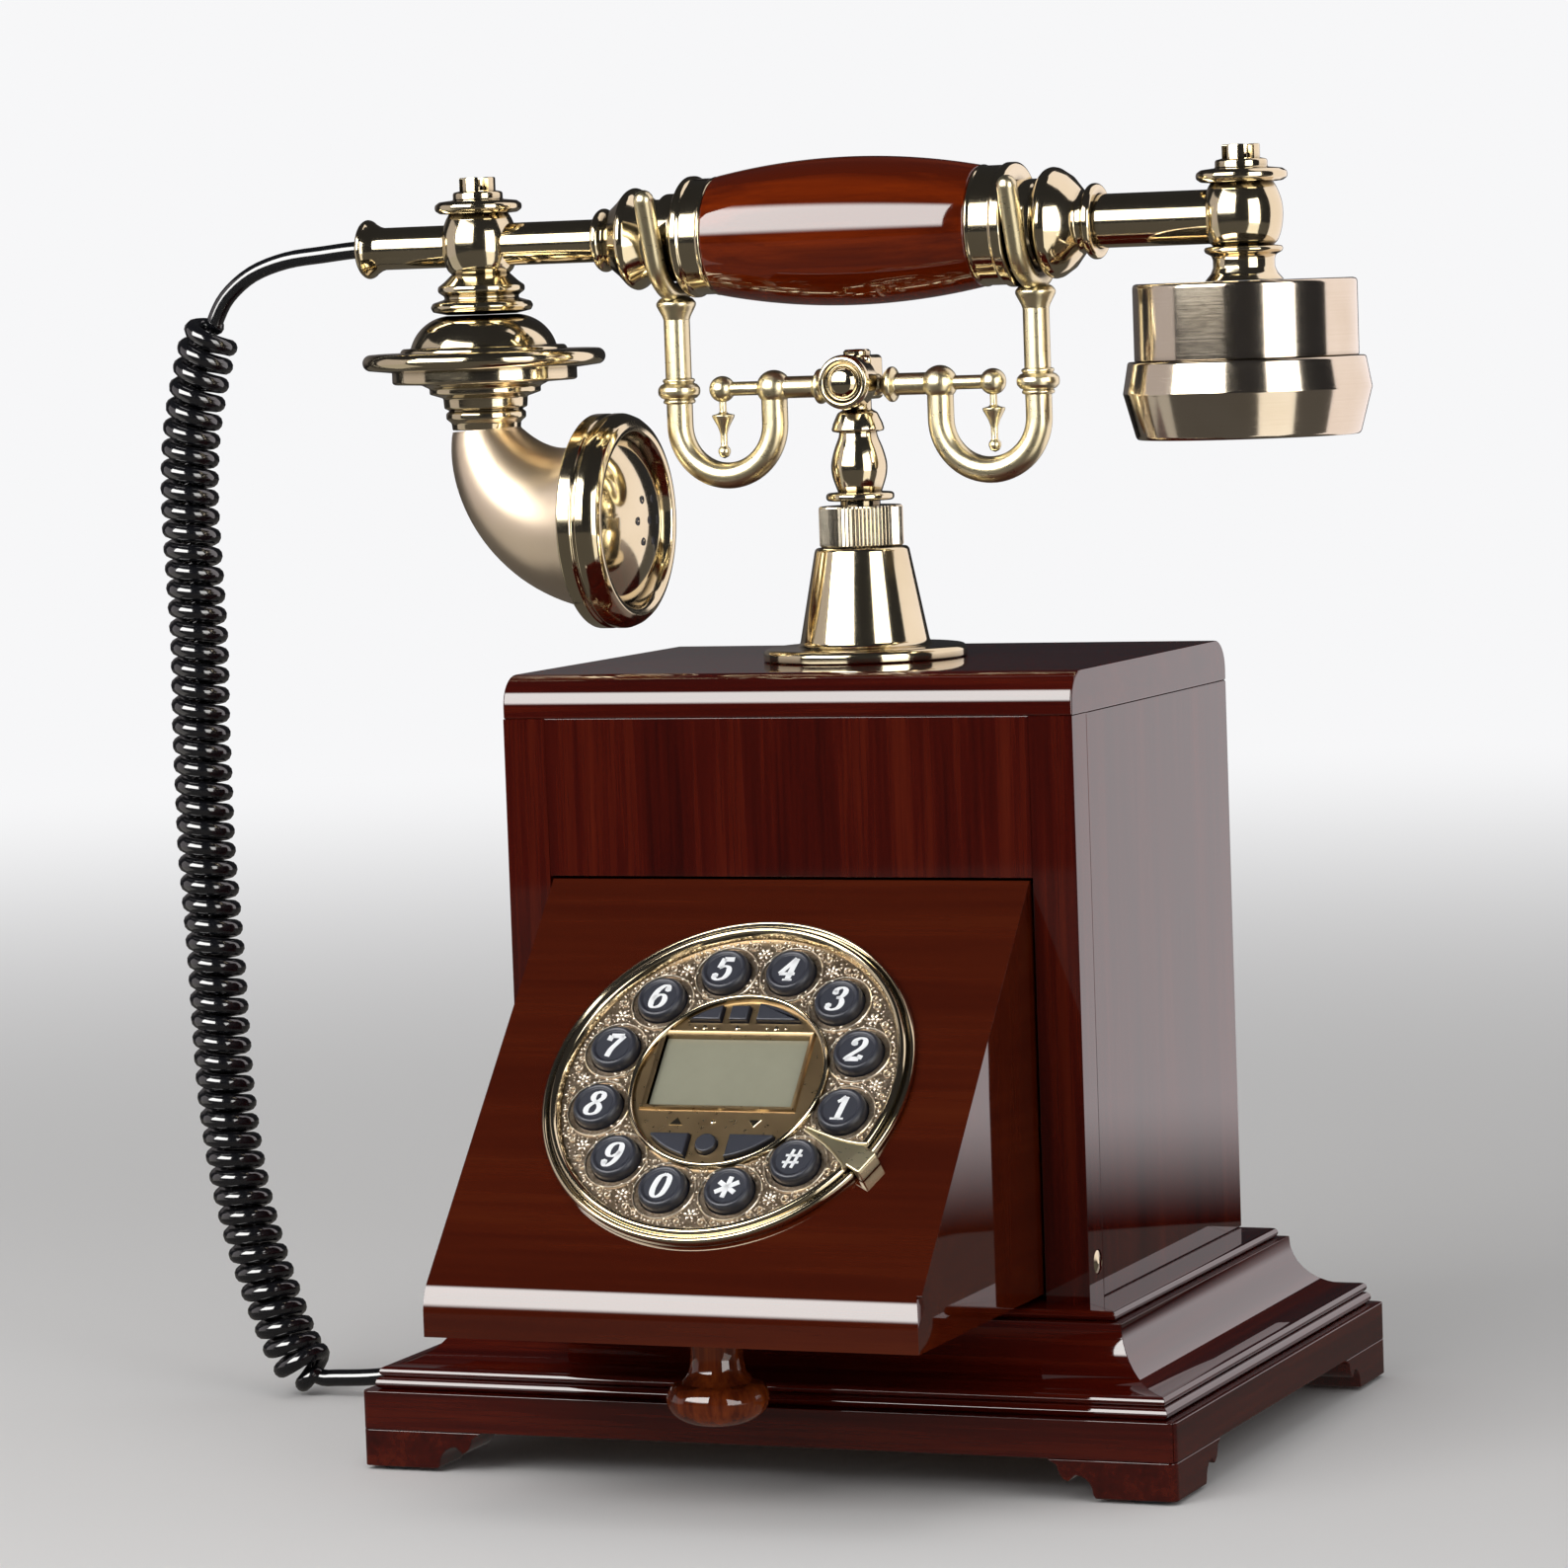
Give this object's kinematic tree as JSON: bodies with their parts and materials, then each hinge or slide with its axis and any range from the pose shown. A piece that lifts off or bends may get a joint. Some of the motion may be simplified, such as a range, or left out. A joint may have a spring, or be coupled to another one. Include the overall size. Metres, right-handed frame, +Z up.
{
  "type": "telephone",
  "caption": "Antique-style wooden desk telephone with a push-button dial on a pull-out front, brass cradle, handset and coiled cord.",
  "frame": {"origin": "on the table, under the middle of the footprint of the telephone without its cord", "axes": "+X to the user's right along the handset, +Y away from the user, +Z up"},
  "size_m": [0.3277, 0.2216, 0.3172],
  "materials": {
    "felt": "soft matt",
    "lacquer": "gloss lacquer over dark mahogany",
    "slope": "gloss lacquer over brown mahogany",
    "orange": "gloss varnish over orange-brown wood",
    "raw_wood": "plain matt",
    "antique_brass": "brushed and antiqued, with dark recesses",
    "steel": "plain",
    "key_rubber": "matt, with white numbers",
    "circuit": "green board",
    "black": "black gloss",
    "clear": "clear grey",
    "screen": "grey-green display behind a clear window"
  },
  "bodies": {
    "case": {"felt_pads": "felt", "plinth": "lacquer", "base_moulding": "lacquer", "bottom_plate": "raw_wood", "deck_board": "raw_wood", "cabinet_sides": "lacquer", "top_board": "lacquer", "back_panel": "lacquer", "front_frame": "lacquer", "phone_jacks": "black", "main_board": "circuit", "ringer": "black", "hook_switch": "steel", "cradle_base": "antique_brass", "case_fasteners": "antique_brass", "hook_spring": "steel", "cord_coil": "black", "cord_tail": "black", "cord_plug": "clear"},
    "cradle": {"cradle_column": "antique_brass", "cradle_arms": "antique_brass"},
    "drawer": {"slope_panel": "slope", "drawer_cheeks": "lacquer", "drawer_tray": "lacquer", "pull_knob": "orange", "dial_rings": "antique_brass", "dial_plate": "antique_brass", "display": "screen", "keypad_board": "circuit", "finger_stop": "antique_brass"},
    "handset": {"grip": "orange", "handset_collars": "antique_brass", "handset_tubes": "antique_brass", "handset_posts": "antique_brass", "mouth_saucer": "antique_brass", "mouth_horn": "antique_brass", "mouth_rim": "antique_brass", "microphone": "steel", "ear_shell": "antique_brass", "ear_cap": "antique_brass", "earphone": "steel", "cord_lead": "black"},
    "button_0": {"key_0": "key_rubber"},
    "button_1": {"key_1": "key_rubber"},
    "button_2": {"key_2": "key_rubber"},
    "button_3": {"key_3": "key_rubber"},
    "button_4": {"key_4": "key_rubber"},
    "button_5": {"key_5": "key_rubber"},
    "button_6": {"key_6": "key_rubber"},
    "button_7": {"key_7": "key_rubber"},
    "button_8": {"key_8": "key_rubber"},
    "button_9": {"key_9": "key_rubber"},
    "button_star": {"key_star": "key_rubber"},
    "button_hash": {"key_hash": "key_rubber"},
    "button_fn_1": {"fn_key_1": "key_rubber"},
    "button_fn_2": {"fn_key_2": "key_rubber"},
    "button_fn_3": {"fn_key_3": "key_rubber"},
    "button_fn_4": {"fn_key_4": "key_rubber"},
    "button_fn_5": {"fn_key_5": "key_rubber"},
    "button_fn_6": {"fn_key_6": "key_rubber"}
  },
  "joints": [
    {"name": "handset_lift", "type": "slide", "parent": "case", "child": "handset", "axis": [0, 0, 1], "range_m": [0, 0.1], "deforming": ["cord_coil"]},
    {"name": "cradle_rise", "type": "slide", "parent": "case", "child": "cradle", "axis": [0, 0, 1], "range_m": [0, 0.005], "deforming": ["hook_spring"]},
    {"name": "drawer_slide", "type": "slide", "parent": "case", "child": "drawer", "axis": [0, -1, 0], "range_m": [0, 0.07]},
    {"name": "press_0", "type": "slide", "parent": "drawer", "child": "button_0", "axis": [0, 0.7352, -0.6778], "range_m": [0, 0.0012], "stiffness_N_per_m": 60},
    {"name": "press_1", "type": "slide", "parent": "drawer", "child": "button_1", "axis": [0, 0.7352, -0.6778], "range_m": [0, 0.0012], "stiffness_N_per_m": 60},
    {"name": "press_2", "type": "slide", "parent": "drawer", "child": "button_2", "axis": [0, 0.7352, -0.6778], "range_m": [0, 0.0012], "stiffness_N_per_m": 60},
    {"name": "press_3", "type": "slide", "parent": "drawer", "child": "button_3", "axis": [0, 0.7352, -0.6778], "range_m": [0, 0.0012], "stiffness_N_per_m": 60},
    {"name": "press_4", "type": "slide", "parent": "drawer", "child": "button_4", "axis": [0, 0.7352, -0.6778], "range_m": [0, 0.0012], "stiffness_N_per_m": 60},
    {"name": "press_5", "type": "slide", "parent": "drawer", "child": "button_5", "axis": [0, 0.7352, -0.6778], "range_m": [0, 0.0012], "stiffness_N_per_m": 60},
    {"name": "press_6", "type": "slide", "parent": "drawer", "child": "button_6", "axis": [0, 0.7352, -0.6778], "range_m": [0, 0.0012], "stiffness_N_per_m": 60},
    {"name": "press_7", "type": "slide", "parent": "drawer", "child": "button_7", "axis": [0, 0.7352, -0.6778], "range_m": [0, 0.0012], "stiffness_N_per_m": 60},
    {"name": "press_8", "type": "slide", "parent": "drawer", "child": "button_8", "axis": [0, 0.7352, -0.6778], "range_m": [0, 0.0012], "stiffness_N_per_m": 60},
    {"name": "press_9", "type": "slide", "parent": "drawer", "child": "button_9", "axis": [0, 0.7352, -0.6778], "range_m": [0, 0.0012], "stiffness_N_per_m": 60},
    {"name": "press_star", "type": "slide", "parent": "drawer", "child": "button_star", "axis": [0, 0.7352, -0.6778], "range_m": [0, 0.0012], "stiffness_N_per_m": 60},
    {"name": "press_hash", "type": "slide", "parent": "drawer", "child": "button_hash", "axis": [0, 0.7352, -0.6778], "range_m": [0, 0.0012], "stiffness_N_per_m": 60},
    {"name": "press_fn_1", "type": "slide", "parent": "drawer", "child": "button_fn_1", "axis": [0, 0.7352, -0.6778], "range_m": [0, 0.0012], "stiffness_N_per_m": 60},
    {"name": "press_fn_2", "type": "slide", "parent": "drawer", "child": "button_fn_2", "axis": [0, 0.7352, -0.6778], "range_m": [0, 0.0012], "stiffness_N_per_m": 60},
    {"name": "press_fn_3", "type": "slide", "parent": "drawer", "child": "button_fn_3", "axis": [0, 0.7352, -0.6778], "range_m": [0, 0.0012], "stiffness_N_per_m": 60},
    {"name": "press_fn_4", "type": "slide", "parent": "drawer", "child": "button_fn_4", "axis": [0, 0.7352, -0.6778], "range_m": [0, 0.0012], "stiffness_N_per_m": 60},
    {"name": "press_fn_5", "type": "slide", "parent": "drawer", "child": "button_fn_5", "axis": [0, 0.7352, -0.6778], "range_m": [0, 0.0012], "stiffness_N_per_m": 60},
    {"name": "press_fn_6", "type": "slide", "parent": "drawer", "child": "button_fn_6", "axis": [0, 0.7352, -0.6778], "range_m": [0, 0.0012], "stiffness_N_per_m": 60}
  ],
  "couplings": [
    {"joint": "cradle_rise", "follows": "handset_lift", "ratio": 0.05}
  ]
}
